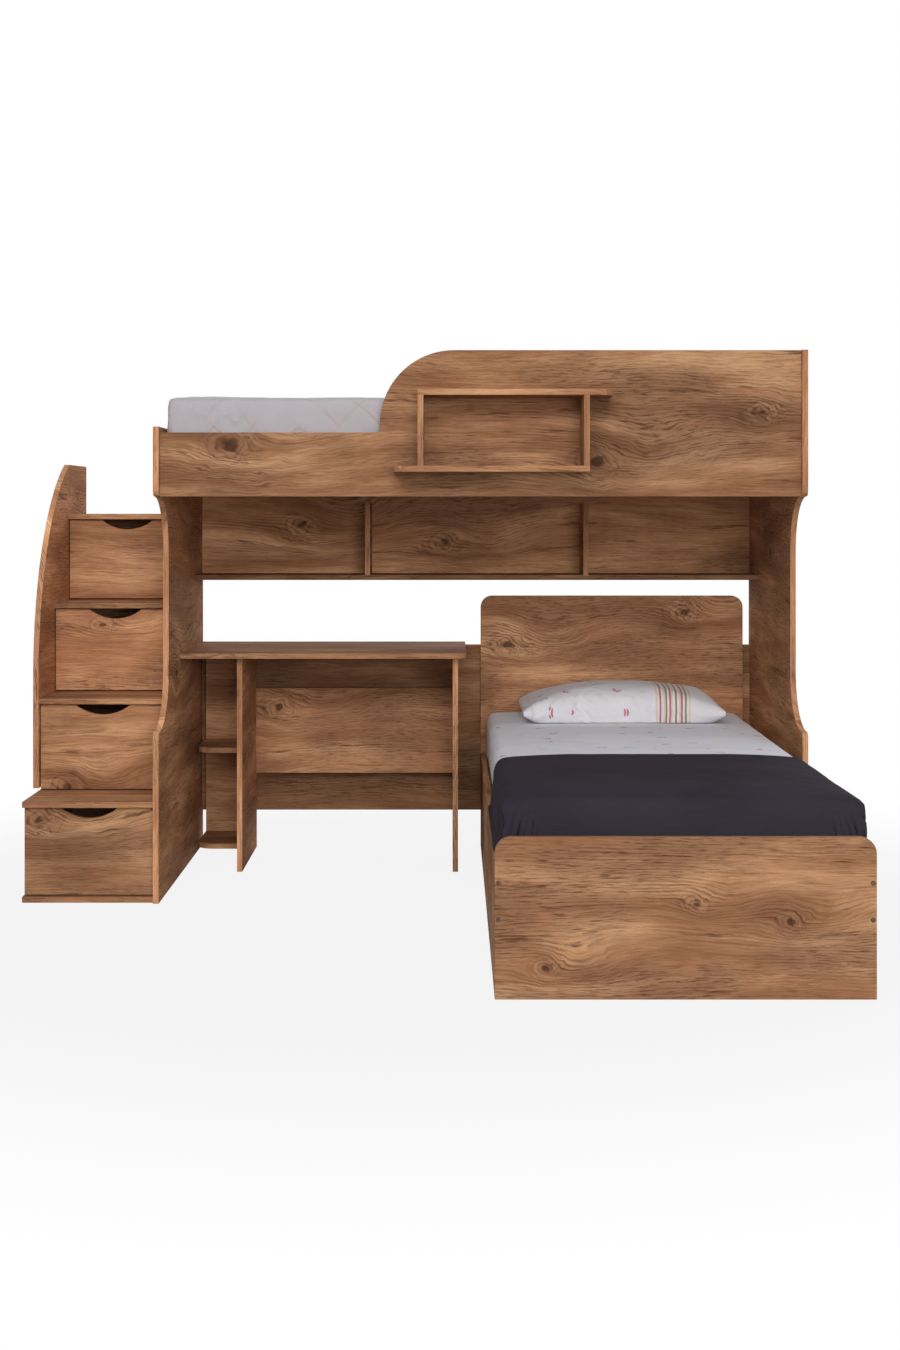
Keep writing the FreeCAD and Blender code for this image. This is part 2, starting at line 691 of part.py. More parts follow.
def mattresses():
    """The upper mattress lies along the bunk, the lower one across it."""
    middle = measure("(y_guard_inner + y_back_board) / 2")
    start = measure("x_inner + upper_end_gap")
    formed("upper_mattress", mattress_solid(), (start, middle, measure("upper_mattress_base")))
    formed("lower_mattress", mattress_solid(), lower_mattress_place(), 90)


def lower_mattress_place():
    """Where the lower mattress's own origin lies: the middle of its foot end, on the slats."""
    return tuple(measure(place) for place in ("x_bed_middle", "y_lower_mattress", "lower_mattress_base"))


def pillow_prism(half, run, place):
    """A section of the pillow, flat where it lies, with a seam line and a crown, and drawn out along a run."""
    height = measure("pillow_height")
    seam = height * PILLOW_SEAM_SHARE
    base = half * PILLOW_BASE_SHARE
    cheek = half * PILLOW_CHEEK_SHARE
    section = Part.Wire([
        line(place(-base, 0), place(base, 0)),
        arc(place(base, 0), place(cheek, seam / 2), place(half, seam)),
        arc(place(half, seam), place(0, height), place(-half, seam)),
        arc(place(-half, seam), place(-cheek, seam / 2), place(-base, 0)),
    ])
    return Part.Face(section).extrude(FreeCAD.Vector(*run))


def pillow():
    """A pillow crowned both ways, whose sides draw in between its corners."""
    length, depth, height = measure("pillow_length"), measure("pillow_depth"), measure("pillow_height")
    draw, overrun = measure("pillow_draw"), measure("cut_overrun")
    far, near = length / 2, depth / 2
    wide, deep = far + overrun, near + overrun
    along = pillow_prism(wide, (0, 2 * deep, 0), lambda side, up: (side, -deep, up))
    across = pillow_prism(deep, (2 * wide, 0, 0), lambda side, up: (-wide, side, up))
    outline = Part.Wire([
        arc((-far, -near, 0), (0, draw - near, 0), (far, -near, 0)),
        arc((far, -near, 0), (far - draw, 0, 0), (far, near, 0)),
        arc((far, near, 0), (0, near - draw, 0), (-far, near, 0)),
        arc((-far, near, 0), (draw - far, 0, 0), (-far, -near, 0)),
    ])
    plan = Part.Face(outline).extrude(FreeCAD.Vector(0, 0, height + overrun))
    place = (measure("x_bed_middle"),
             measure("y_head - bed_head_gap - pillow_head_gap - pillow_depth / 2"),
             measure("lower_mattress_top + soft_gap"))
    formed("pillow", along.common(across).common(plan), place)


def throw():
    """A throw over the foot of the lower bed: it follows the mattress and hangs in folds at both sides."""
    gap, thickness = measure("soft_gap"), measure("throw_thickness")
    width, height = measure("mattress_width"), measure("mattress_height")
    hem, cover = measure("throw_hem"), measure("throw_cover")
    overrun = measure("cut_overrun")
    reach = thickness + gap
    inner = mattress_solid(gap)
    outer = mattress_solid(reach)
    top = height - measure("mattress_edge_radius")
    for side, shares in ((1, LEFT_FOLD_SHARES), (-1, RIGHT_FOLD_SHARES)):
        for share in shares:
            fold = Part.makeCone(measure("throw_fold_radius"), measure("throw_fold_top_radius"), top - hem,
                                 FreeCAD.Vector(cover * share, side * (width / 2 + gap), hem))
            outer = outer.fuse(fold)
    margin = reach + measure("throw_fold_radius") + overrun
    tall = height + measure("mattress_crown") + margin - hem
    window = Part.makeBox(cover + margin, width + 2 * margin, tall,
                          FreeCAD.Vector(-margin, -width / 2 - margin, hem))
    cloth = outer.cut(inner).common(window)
    formed("throw", cloth.Solids[0], lower_mattress_place(), 90)


side_panel("left_side_panel", "left_panel_height", "x_left")
side_panel("right_side_panel", "guard_top", "x_right")
front_guard()
guard_shelves()
back_and_bookshelf()
upper_base()
stair_panel()
stair_carcass()
runners = []
for step in range(1, STEP_COUNT + 1):
    runners += drawer(step)
group("drawer_runners", runners)
desk()
lower_bed()
mattresses()
pillow()
throw()
document.recompute()

for item in document.Objects:
    if {"Invalid", "Error"} & set(item.State):
        raise RuntimeError(f"{item.Label} failed: {item.State}")
for item in subparts:
    if item.Shape.isNull() or not item.Shape.isValid():
        raise RuntimeError(f"{item.Label} has no valid shape")
os.makedirs("parts", exist_ok=True)
for item in subparts:
    item.Shape.exportStep(f"parts/{item.Label}.step")
print(len(subparts), "sub-parts,", sum(len(item.Shape.Solids) for item in subparts), "solids")
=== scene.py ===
# %% [markdown]
# A bunk bed built from wood-print boards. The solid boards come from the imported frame, so this lesson
# dresses them: it sets the camera and the light, paints the boards and the metal, and then sews and
# fills the soft goods, which are two mattresses in their sheets, a pillow and a throw.

# %% Load the frame
import math

import bmesh
import bpy
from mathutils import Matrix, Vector, noise


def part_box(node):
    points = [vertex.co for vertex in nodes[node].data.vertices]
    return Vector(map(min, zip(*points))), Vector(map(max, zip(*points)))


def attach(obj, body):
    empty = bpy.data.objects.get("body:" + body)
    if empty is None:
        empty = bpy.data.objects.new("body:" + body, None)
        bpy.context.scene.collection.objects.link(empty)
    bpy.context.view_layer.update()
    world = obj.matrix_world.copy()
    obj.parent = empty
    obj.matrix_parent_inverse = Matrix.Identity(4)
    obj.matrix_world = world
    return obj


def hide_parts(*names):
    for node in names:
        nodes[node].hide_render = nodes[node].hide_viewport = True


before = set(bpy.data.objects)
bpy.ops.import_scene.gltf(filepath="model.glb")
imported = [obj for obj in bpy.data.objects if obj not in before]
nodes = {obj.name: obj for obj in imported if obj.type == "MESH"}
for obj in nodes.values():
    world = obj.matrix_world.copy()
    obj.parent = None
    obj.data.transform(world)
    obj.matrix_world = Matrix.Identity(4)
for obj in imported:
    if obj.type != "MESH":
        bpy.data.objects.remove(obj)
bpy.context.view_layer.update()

scene = bpy.context.scene

# %% [markdown]
# The camera stands level, 1.23 m above the floor, and looks straight at the bed, so upright boards stay
# upright. A level camera puts the horizon in the middle of the picture; the photograph has it higher, so
# the lens is shifted rather than tilted, as an architect's camera would do. The three values in pixels
# belong to a picture 1350 pixels high.

# %% Camera
PICTURE_HEIGHT = 1350
FOCAL_LENGTH = 1776.5
HORIZON = 509.3
SENSOR = 36
CAMERA_PLACE = (0.1197, -5.5033, 1.2315)

lens = bpy.data.cameras.new("camera")
lens.sensor_width = SENSOR
lens.lens = SENSOR * FOCAL_LENGTH / PICTURE_HEIGHT
lens.shift_y = (HORIZON - PICTURE_HEIGHT / 2) / PICTURE_HEIGHT
camera = bpy.data.objects.new("camera", lens)
camera.location = CAMERA_PLACE
camera.rotation_euler = (math.radians(90), 0, 0)
scene.collection.objects.link(camera)
scene.camera = camera
print("lens", round(lens.lens, 2), "mm, shift", round(lens.shift_y, 4))

# %% [markdown]
# Shader nodes read better as arithmetic. A Wire stands for one output of a node, and adding or
# multiplying wires adds Math nodes. A Finish is a material in the making; its node method adds any
# other node: the settings go in first, then the values or wires of its sockets.

# %% Wires
class Wire:
    """One output of a shader node, which can take part in Python arithmetic."""

    def __init__(self, finish, socket):
        self.finish = finish
        self.socket = socket

    def math(self, operation, *values):
        settings = {"operation": operation}
        return self.finish.node("ShaderNodeMath", settings, dict(enumerate(values)))

    def __add__(self, other):
        return self.math("ADD", self, other)

    def __radd__(self, other):
        return self.math("ADD", other, self)

    def __sub__(self, other):
        return self.math("SUBTRACT", self, other)

    def __rsub__(self, other):
        return self.math("SUBTRACT", other, self)

    def __mul__(self, other):
        return self.math("MULTIPLY", self, other)

    def __rmul__(self, other):
        return self.math("MULTIPLY", other, self)

    def __truediv__(self, other):
        return self.math("DIVIDE", self, other)

    def __pow__(self, other):
        return self.math("POWER", self, other)

    def __abs__(self):
        return self.math("ABSOLUTE", self)

    def out(self, name):
        """Another output of the same node."""
        return Wire(self.finish, self.socket.node.outputs[name])


print("wires ready")

# %% Finishes
class Finish:
    """A node tree in the making: that of a new material, or of the owner given, such as a world."""

    def __init__(self, name, owner=None):
        self.material = owner or bpy.data.materials.new(name)
        self.material.use_nodes = True
        self.tree = self.material.node_tree
        self.tree.nodes.clear()

    def node(self, kind, settings=None, values=None, output=0):
        item = self.tree.nodes.new(kind)
        for key, value in (settings or {}).items():
            if key == "stops":
                ramp = item.color_ramp.elements
                while len(ramp) < len(value):
                    ramp.new(1)
                for stop, (position, colour) in zip(ramp, value):
                    stop.position = position
                    stop.color = colour
            elif key == "between":
                item.color_ramp.interpolation = value
            else:
                setattr(item, key, value)
        for key, value in (values or {}).items():
            if isinstance(value, Wire):
                self.tree.links.new(value.socket, item.inputs[key])
            else:
                item.inputs[key].default_value = value
        return Wire(self, item.outputs[output]) if len(item.outputs) else None

    def place(self):
        """The three Object coordinates, in metres."""
        point = self.node("ShaderNodeTexCoord", output="Object")
        split = self.node("ShaderNodeSeparateXYZ", {}, {0: point})
        return {axis: split.out(axis.upper()) for axis in "xyz"}

    def vector(self, x, y, z=0.0):
        return self.node("ShaderNodeCombineXYZ", {}, {0: x, 1: y, 2: z})

    def noise(self, vector, scale=1.0, detail=2.0, roughness=0.5):
        values = {"Vector": vector, "Scale": scale, "Detail": detail, "Roughness": roughness}
        return self.node("ShaderNodeTexNoise", {}, values)

    def step(self, value, low, high):
        """0 below low, 1 above high and smooth between; low may be the larger."""
        values = {0: value, 1: low, 2: high}
        return self.node("ShaderNodeMapRange", {"interpolation_type": "SMOOTHSTEP"}, values)

    def mix(self, share, first, second, blend="MIX"):
        settings = {"data_type": "RGBA", "blend_type": blend, "clamp_factor": True}
        return self.node("ShaderNodeMix", settings, {0: share, 6: first, 7: second}, 2)

    def bump(self, height, strength, distance, under=None):
        """A normal from a height; under is the normal of a coarser bump that it lies on."""
        values = {"Height": height, "Strength": strength, "Distance": distance}
        if under:
            values["Normal"] = under
        return self.node("ShaderNodeBump", {}, values)

    def surface(self, **values):
        """Join a Principled shader to the material's output."""
        named = {key.replace("_", " "): value for key, value in values.items()}
        shader = self.node("ShaderNodeBsdfPrincipled", {}, named)
        self.node("ShaderNodeOutputMaterial", {}, {0: shader})
        return self.material


print("finishes ready")

# %% Paint
def paint(red, green, blue):
    """A colour as a paint chart gives it, 0 to 255, as the linear light that shaders use."""
    chart = [part / 255 for part in (red, green, blue)]
    light = [part / 12.92 if part <= 0.04045 else ((part + 0.055) / 1.055) ** 2.4 for part in chart]
    return (*light, 1)


print("a mid grey of 128 is", round(paint(128, 128, 128)[0], 3), "in linear light")

# %% [markdown]
# The bed was photographed in a studio and cut out on white. A pale floor and a white world give that
# ground. Only what the camera and mirror-like rays see is white; the light that falls on the boards
# comes from a dimmer world and from lamps, so the boards keep the colour that they are painted in.
# Near the bed the floor glows a little less, so that its shadow stays, and under the lower bed it
# doesn't glow at all, because that white would show between the mattress and the rails.

# %% Floor and world
def seen(finish):
    """1 for rays that show the ground directly, by reflection or through something clear."""
    path = finish.node("ShaderNodeLightPath", output="Is Camera Ray")
    return path.math("MAXIMUM", path + path.out("Is Glossy Ray"), path.out("Is Transmission Ray"))


FLOOR_SIZE, FLOOR_DROP = 40, 0.0005
NEAR_GLOW, NEAR, FAR = 0.88, 1.4, 2.8
BED_MIDDLE, BED_HALF_WIDTH, BED_HALF_LENGTH, BLUR = 0.71, 0.45, 1.01, 0.01

ground = Finish("pale_floor")
spot = ground.place()
reach = (spot["x"] * spot["x"] + spot["y"] * spot["y"]) ** 0.5
under_bed = ground.step(abs(spot["x"] - BED_MIDDLE), BED_HALF_WIDTH + BLUR, BED_HALF_WIDTH - BLUR)
under_bed = under_bed * ground.step(abs(spot["y"]), BED_HALF_LENGTH + BLUR, BED_HALF_LENGTH - BLUR)
bright = NEAR_GLOW + (1.0 - NEAR_GLOW) * ground.step(reach, NEAR, FAR)
glow = seen(ground) * bright * (1.0 - under_bed)
matt = ground.node("ShaderNodeBsdfDiffuse", {}, {"Color": paint(150, 149, 148)})
white = ground.node("ShaderNodeEmission", {}, {"Color": paint(255, 255, 255), "Strength": 1.0})
blend = ground.node("ShaderNodeMixShader", {}, {0: glow, 1: matt, 2: white})
ground.node("ShaderNodeOutputMaterial", {}, {0: blend})

plate = bmesh.new()
bmesh.ops.create_grid(plate, x_segments=1, y_segments=1, size=FLOOR_SIZE)
bmesh.ops.translate(plate, vec=(0, 0, -FLOOR_DROP), verts=plate.verts)
mesh = bpy.data.meshes.new("floor")
plate.to_mesh(mesh)
plate.free()
mesh.materials.append(ground.material)
floor = bpy.data.objects.new("floor", mesh)
scene.collection.objects.link(floor)

AMBIENT = 0.50
scene.world = bpy.data.worlds.new("studio")
sky = Finish("studio", scene.world)
dim = sky.node("ShaderNodeBackground", {}, {"Color": paint(250, 252, 255), "Strength": AMBIENT})
clear = sky.node("ShaderNodeBackground", {}, {"Color": paint(255, 255, 255), "Strength": 1.0})
both = sky.node("ShaderNodeMixShader", {}, {0: seen(sky), 1: dim, 2: clear})
sky.node("ShaderNodeOutputWorld", {}, {0: both})
scene.view_settings.view_transform = "Standard"
print("floor and world, ambient", AMBIENT)

# %% [markdown]
# In the photograph the shadows under the shelves and the desk top are short and soft, so the main light
# is wide, in front and only a little above the bed. It stands far back, because a near lamp would burn
# out the footboard. A lower fill lamp at the right reaches under the bunk, and a weak lamp behind keeps
# the back readable when someone walks round.

# %% Lamps
def lamp(name, place, target, size, power):
    light = bpy.data.lights.new(name, "AREA")
    light.shape = "RECTANGLE"
    light.size, light.size_y = size
    light.energy = power
    item = bpy.data.objects.new(name, light)
    item.location = place
    item.rotation_euler = (Vector(target) - Vector(place)).to_track_quat("-Z", "Y").to_euler()
    item.visible_camera = False
    scene.collection.objects.link(item)


lamp("front_light", place=(-0.8, -8.4, 4.6), target=(0.1, 0.2, 0.8), size=(4.6, 2.6), power=340)
lamp("fill_light", place=(1.6, -8.6, 1.7), target=(-0.1, 0.4, 0.9), size=(3.0, 1.8), power=200)
lamp("back_light", place=(2.0, 7.5, 4.2), target=(0.1, 0.4, 0.8), size=(4.0, 2.5), power=120)

# %% [markdown]
# The boards are chipboard with a printed wood face: tan with smoky patches, straight fine streaks, dark
# dashes in loose clusters, splintered dark flames and a few knots with growth lines round them. An image
# would be the common way; here the print is worked out from where a point lies on its board, so it never
# repeats. Every streak is drawn along a level that a slow noise bends a little. Round a knot the level is
# held back, so the grain parts and closes again behind it, as it does in a plank. On the ends of a board
# the print turns to run along the edge, as edge banding does.

# %% Wood colours and noise layers
PALE = paint(208, 160, 119)
TAN = paint(174, 126, 91)
BROWN = paint(146, 101, 71)
SMOKE = paint(122, 91, 71)
STREAK = paint(112, 73, 50)
DASH = paint(80, 51, 36)
HEART = paint(70, 49, 39)
HALO = paint(178, 136, 105)

# Each noise: waves per metre along the grain and across it, shift of the seed, detail and roughness.
DRIFT = (1.1, 2.6, 0.0, 2.0, 0.5)
RIPPLE = (9.0, 26.0, 7.7, 2.0, 0.5)
PATCHES = (1.8, 5.0, 11.9, 2.0, 0.5)
BROAD = (1.7, 10.0, 5.3, 4.0, 0.6)
STREAKS = (6.0, 105.0, 15.7, 5.0, 0.7)
FLAMES = (2.6, 30.0, 21.1, 4.0, 0.7)
DASHES = (24.0, 310.0, 9.4, 2.0, 0.6)
FIBRES = (34.0, 640.0, 2.2, 1.0, 0.5)

# The ovals of a knot, along the grain and across it, in sizes of the knot.
PARTING = (2.8, 1.5)
ARCH_MIDDLE, ARCH = (3.4, 0.5), (4.6, 2.4)
RINGS = (1.5, 1.0)
print("the finest layer has", FIBRES[1], "waves per metre")

# %% Grain and knots
def board_axes(finish, layout):
    """Where a point lies along and across the grain, and 1 on the banded edges of the board."""
    place = finish.place()
    facing = finish.node("ShaderNodeTexCoord", output="Normal")
    facing = finish.node("ShaderNodeSeparateXYZ", {}, {0: facing})
    along, across, through = (place[axis] for axis in layout)
    turned = finish.step(abs(facing.out(layout[0].upper())), 0.5, 0.6)
    banded = finish.step(abs(facing.out(layout[2].upper())), 0.6, 0.4)
    run = along + (across - along) * turned
    side = across + through + (along - across) * turned
    return run, side, banded


def oval(ahead, beside, reach):
    """0 in the middle of an oval of that reach along and across the grain, 1 on its rim."""
    return (ahead / reach[0]) ** 2.0 + (beside / reach[1]) ** 2.0


def knot_marks(finish, run, side, ripple, seed, spot):
    """What one knot does at a point: how far it bends the grain, and how strong each of its marks is."""
    knot_run, knot_side, size = spot
    warp = finish.noise(finish.vector(run / size * 0.8, side / size * 0.8, seed), detail=2.0)
    ahead = (run - knot_run) / size + (warp - 0.5) * 1.8
    beside = (side - knot_side) / size + (ripple - 0.5) * 1.3
    far = oval(ahead, beside, PARTING)
    arch = oval(ahead - ARCH_MIDDLE[0], beside - ARCH_MIDDLE[1], ARCH)
    apart = oval(ahead, beside, RINGS) ** 0.5
    ring = apart * 2.4 + warp * 2.6
    ring = ring.math("FRACT", ring)
    swirl = finish.step(ring, 0.35, 0.80) * finish.step(ring, 1.0, 0.86)
    held_back = (side - knot_side) * 0.92 * far.math("EXPONENT", far * -1.0)
    return {
        "bend": size * 1.6 * arch.math("EXPONENT", arch * -1.0) - held_back,
        "nearby": far.math("EXPONENT", far * -0.30),
        "swirl": swirl * finish.step(apart, 1.9, 0.5),
        "heart": finish.step(apart, 0.44, 0.12),
        "halo": finish.step(apart, 1.15, 0.75) * finish.step(apart, 0.45, 0.70),
    }


print("grain and knots ready")

# %% Wood print
def wood_print(name, layout, seed, knots=(), painted_light=1.0):
    """A printed board. The layout names the axes along the grain, across it and through the board."""
    finish = Finish(name)
    run, side, banded = board_axes(finish, layout)

    def grain(layer, across):
        waves_along, waves_across, shift, detail, roughness = layer
        vector = finish.vector(run * waves_along, across * waves_across, seed + shift)
        return finish.noise(vector, detail=detail, roughness=roughness)

    drift, ripple = grain(DRIFT, side), grain(RIPPLE, side)
    marked = [knot_marks(finish, run, side, ripple, seed, spot) for spot in knots]
    names = ("bend", "nearby", "swirl", "heart", "halo")
    knotted = {mark: sum(knot[mark] for knot in marked) for mark in names}
    level = side + (drift - 0.5) * 0.11 + (ripple - 0.5) * 0.006 + knotted["bend"]
    broad, streak, flame = grain(BROAD, level), grain(STREAKS, level), grain(FLAMES, level)
    dash, fibre = grain(DASHES, level), grain(FIBRES, level)
    cluster = finish.step(grain(PATCHES, side), 0.44, 0.64)

    # The ground, with smoky patches over it.
    stops = [(0.40, BROWN), (0.50, TAN), (0.60, PALE)]
    colour = finish.node("ShaderNodeValToRGB", {"stops": stops}, {0: broad * 0.52 + streak * 0.48})
    colour = finish.mix(cluster * 0.42, colour, SMOKE)

    # Streaks, flames and dashes, denser in the patches.
    colour = finish.mix(finish.step(streak, 0.52, 0.64) * (0.34 + cluster * 0.30), colour, STREAK)
    flames = finish.step(flame + (streak - 0.5) * 0.6, 0.60, 0.70)
    colour = finish.mix(flames * 0.80, colour, STREAK)
    marks = finish.step(dash, 0.55, 0.62) * (0.22 + cluster * 0.42 + flames * 0.3)
    colour = finish.mix(marks, colour, DASH)

    # Growth lines, which show most near a knot, and then the knots themselves.
    lines = level * 105.0 + broad * 2.4
    lines = lines.math("FRACT", lines)
    lines = finish.step(lines, 0.40, 0.88) * finish.step(lines, 1.0, 0.91) * finish.step(flame, 0.38, 0.54)
    growth = lines * (0.15 + cluster * 0.16)
    if knots:
        growth = growth + lines * knotted["nearby"] * 0.46 + knotted["swirl"] * 0.45
        dusk = knotted["nearby"] * finish.step(broad, 0.66, 0.40)
        colour = finish.mix(dusk * 0.55, colour, STREAK)
    colour = finish.mix(growth, colour, DASH)
    if knots:
        colour = finish.mix(knotted["halo"] * 0.22, colour, HALO)
        colour = finish.mix(knotted["heart"] * 0.84, colour, HEART)

    # Fibres, paler edge banding, and painted light and shade: the whole board is made lighter or darker.
    shade = (0.84 + fibre * 0.32 + banded * 0.12) * painted_light
    colour = finish.mix(1.0, colour, finish.vector(shade, shade, shade), "MULTIPLY")
    relief = fibre * 0.35 - marks - growth
    return finish.surface(Base_Color=colour, Roughness=0.64 + marks * 0.3 + cluster * 0.05,
                          Specular_IOR_Level=0.03, Normal=finish.bump(relief, 0.16, 0.0006))


print("wood print ready")

# %% [markdown]
# Every board gets a print of its own, so no two neighbours share a streak. The table gives each board's
# layout. Most boards that face the room have their grain level; the small uprights have it standing.
# The knots on the large boards are given one by one. Each has its place along the grain, its place across
# it, for which the print adds up the other two coordinates, and its size, all in metres. Each board also
# gets a factor of painted light and shade, which makes it lighter or darker to bring it near its brightness
# in the photograph, where the light is less even.

# %% Print the boards
FACE, PANEL, SHELF, POST = "xzy", "yzx", "xyz", "zyx"
BOARDS = {
    FACE: ["front_guard", "upper_back_panel", "lower_back_panel", "headboard", "footboard", "stair_back",
           "desk_modesty_panel", "desk_niche_back", "drawer_1_front", "drawer_2_front",
           "drawer_3_front", "drawer_4_front", "drawer_1_back", "drawer_2_back", "drawer_3_back",
           "drawer_4_back"],
    PANEL: ["left_side_panel", "right_side_panel", "stair_side_panel", "stair_base_side", "desk_left_leg",
            "desk_right_leg", "bed_left_rail", "bed_right_rail", "bookshelf_divider_left",
            "bookshelf_divider_right", "drawer_1_sides", "drawer_2_sides", "drawer_3_sides",
            "drawer_4_sides"],
    SHELF: ["guard_shelf_bottom", "guard_shelf_top", "bookshelf_board", "stair_tread_1", "stair_tread_2",
            "stair_tread_3", "stair_tread_4", "stair_base", "desk_top", "desk_niche_shelf_low",
            "desk_niche_shelf_high", "drawer_1_bottom", "drawer_2_bottom", "drawer_3_bottom",
            "drawer_4_bottom"],
    POST: ["guard_shelf_uprights"],
}
KNOTS = {
    "footboard": [(0.74, -0.80, 0.021), (0.975, -0.845, 0.024), (0.36, -0.965, 0.022)],
    "front_guard": [(1.10, 1.59, 0.034), (0.58, 1.44, 0.044), (-0.57, 1.49, 0.046)],
    "upper_back_panel": [(-0.42, 2.19, 0.042), (0.10, 2.13, 0.038)],
    "headboard": [(0.33, 1.74, 0.042), (0.98, 1.86, 0.038)],
    "desk_modesty_panel": [(-0.50, 1.48, 0.040)],
    "drawer_4_front": [(-1.08, 1.16, 0.030)],
    "drawer_3_front": [(-1.06, 1.36, 0.028)],
    "drawer_2_front": [(-1.13, 0.62, 0.036)],
    "drawer_1_front": [(-1.17, 0.33, 0.040)],
    "left_side_panel": [(0.42, -0.10, 0.038)],
    "right_side_panel": [(0.60, 2.30, 0.038)],
}
# Painted light and shade: a factor above 1 paints a board lighter and one below 1 paints it darker, in
# place of the light that falls on it.
BOARD_PAINTED_LIGHT = {"front_guard": 0.90, "upper_back_panel": 1.30, "lower_back_panel": 0.74, "desk_top": 0.98,
         "drawer_1_front": 0.98, "drawer_2_front": 1.16, "drawer_3_front": 1.60, "drawer_4_front": 1.12,
         "stair_side_panel": 1.55, "left_side_panel": 1.40, "right_side_panel": 1.28, "headboard": 1.18,
         "desk_modesty_panel": 1.24, "desk_left_leg": 1.40, "desk_right_leg": 1.25, "bookshelf_board": 0.56}


def finish_node(name, material):
    slots = nodes[name].data.materials
    slots.clear()
    slots.append(material)


SEED_STEP = 2.37
seed = 0.0
for layout, names in BOARDS.items():
    for name in names:
        seed += SEED_STEP
        board = wood_print(f"wood_{name}", layout, seed, KNOTS.get(name, ()), BOARD_PAINTED_LIGHT.get(name, 1.0))
        finish_node(name, board)
print(sum(len(names) for names in BOARDS.values()), "boards printed")

# %% [markdown]
# Under the mattresses lie sawn pine slats on pine ledgers, pale and unpainted. The grain is the same
# idea as the print, with wider and softer lines. The drawers run on pressed steel channels with a pale
# powder coat, which has a fine orange-peel skin, and the bolts of the lower bed have dark bronzed heads.

# %% Pine, powder coat and bronze
def sawn_pine(name, layout, seed):
    finish = Finish(name)
    place = finish.place()
    along, across, through = (place[axis] for axis in layout)
    bend = finish.noise(finish.vector(along * 1.1, across * 5.0, through * 5.0 + seed), detail=1.0)
    level = across + through + bend * 0.06
    grain = finish.noise(finish.vector(along * 1.3, level * 60.0, seed), detail=3.0, roughness=0.55)
    saw = finish.noise(finish.vector(along * 260.0, across * 14.0, through * 14.0), detail=1.0)
    stops = [(0.34, paint(188, 146, 98)), (0.50, paint(214, 176, 126)), (0.66, paint(230, 199, 154))]
    colour = finish.node("ShaderNodeValToRGB", {"stops": stops}, {0: grain})
    return finish.surface(Base_Color=colour, Roughness=0.62 + grain * 0.2,
                          Normal=finish.bump(grain * 0.6 + saw * 0.4, 0.25, 0.0008))


def powder_coat(name):
    finish = Finish(name)
    point = finish.node("ShaderNodeTexCoord", output="Object")
    peel = finish.noise(point, 900.0, 2.0)
    rub = finish.noise(point, 22.0, 4.0, 0.6)
    colour = finish.mix(finish.step(rub, 0.45, 0.72), paint(224, 224, 221), paint(203, 203, 199))
    return finish.surface(Base_Color=colour, Roughness=0.34 + rub * 0.2,
                          Normal=finish.bump(peel, 0.2, 0.0003))


def bronzed_steel(name):
    finish = Finish(name)
    point = finish.node("ShaderNodeTexCoord", output="Object")
    wear = finish.noise(point, 420.0, 3.0, 0.6)
    colour = finish.mix(finish.step(wear, 0.46, 0.70), paint(74, 56, 45), paint(128, 98, 74))
    return finish.surface(Base_Color=colour, Roughness=0.34 + wear * 0.2, Metallic=0.85,
                          Normal=finish.bump(wear, 0.1, 0.0003))


PINE = {"upper_slats": "yxz", "upper_ledgers": "xzy", "lower_slats": "xyz", "lower_ledgers": "yzx"}
for count, (name, layout) in enumerate(PINE.items()):
    finish_node(name, sawn_pine(f"pine_{name}", layout, 61.0 + 3.3 * count))
coat = powder_coat("powder_coat")
RUNNERS = [name for name in nodes if name == "drawer_runners" or name.endswith("_slides")]
for name in RUNNERS:
    finish_node(name, coat)
finish_node("bed_bolts", bronzed_steel("bronzed_steel"))
print(len(PINE), "pine nodes,", len(RUNNERS), "runner nodes and the bolts finished")

# %% [markdown]
# A mattress in a tight sheet is nearly a box, and yet no line on it is straight: the top is crowned, the
# edges are round and the corners pull in. Such a block could be sculpted by hand. Filling it as the real
# one is filled does it better: a rounded box a little smaller than the mattress is cut into small cells,
# becomes cloth, and is blown up for a moment. No point may move further than a set cap. Then the block is
# stretched to the space that it has, and its lowest part is pressed flat, as it lies on the slats.

# %% Filling with air
def new_piece(name, shape, material):
    """An object made from a bmesh, at the origin, with one finish."""
    mesh = bpy.data.meshes.new(name)
    shape.to_mesh(mesh)
    shape.free()
    mesh.materials.append(material)
    piece = bpy.data.objects.new(name, mesh)
    scene.collection.objects.link(piece)
    return piece


def rounded_block(low, high, radius):
    shape = bmesh.new()
    bmesh.ops.create_cube(shape, size=1)
    bmesh.ops.scale(shape, vec=high - low, verts=shape.verts)
    bmesh.ops.translate(shape, vec=(high + low) / 2, verts=shape.verts)
    bmesh.ops.bevel(shape, geom=shape.edges[:], offset=radius, affect="EDGES", segments=4, profile=0.5,
                    material=-1)
    return shape


def settle(piece):
    """Give the piece the mesh that its modifiers make, and take the modifiers off."""
    result = bpy.data.meshes.new_from_object(piece.evaluated_get(bpy.context.evaluated_depsgraph_get()))
    old = piece.data
    piece.modifiers.clear()
    piece.data = result
    bpy.data.meshes.remove(old)
    result.name = piece.name


def cut_into_cells(piece, cell):
    remesh = piece.modifiers.new("cells", "REMESH")
    remesh.mode = "VOXEL"
    remesh.voxel_size = cell
    settle(piece)


def blow_up(piece, pressure, cap, frames=20, slack=0.0, group=""):
    """Fill a closed piece with air for some frames; no point ends further than cap from its start."""
    start = [point.co.copy() for point in piece.data.vertices]
    cloth = piece.modifiers.new("air", "CLOTH")
    cloth.settings.use_pressure = True
    cloth.settings.uniform_pressure_force = pressure
    cloth.settings.vertex_group_pressure = group
    cloth.settings.shrink_min = -slack
    cloth.settings.effector_weights.gravity = 0
    for step in range(1, frames + 1):
        scene.frame_set(step)
    settle(piece)
    scene.frame_set(1)
    for point, first in zip(piece.data.vertices, start):
        move = point.co - first
        if move.length > cap:
            point.co = first + move * (cap / move.length)


print("ready to fill; simulation", "on")

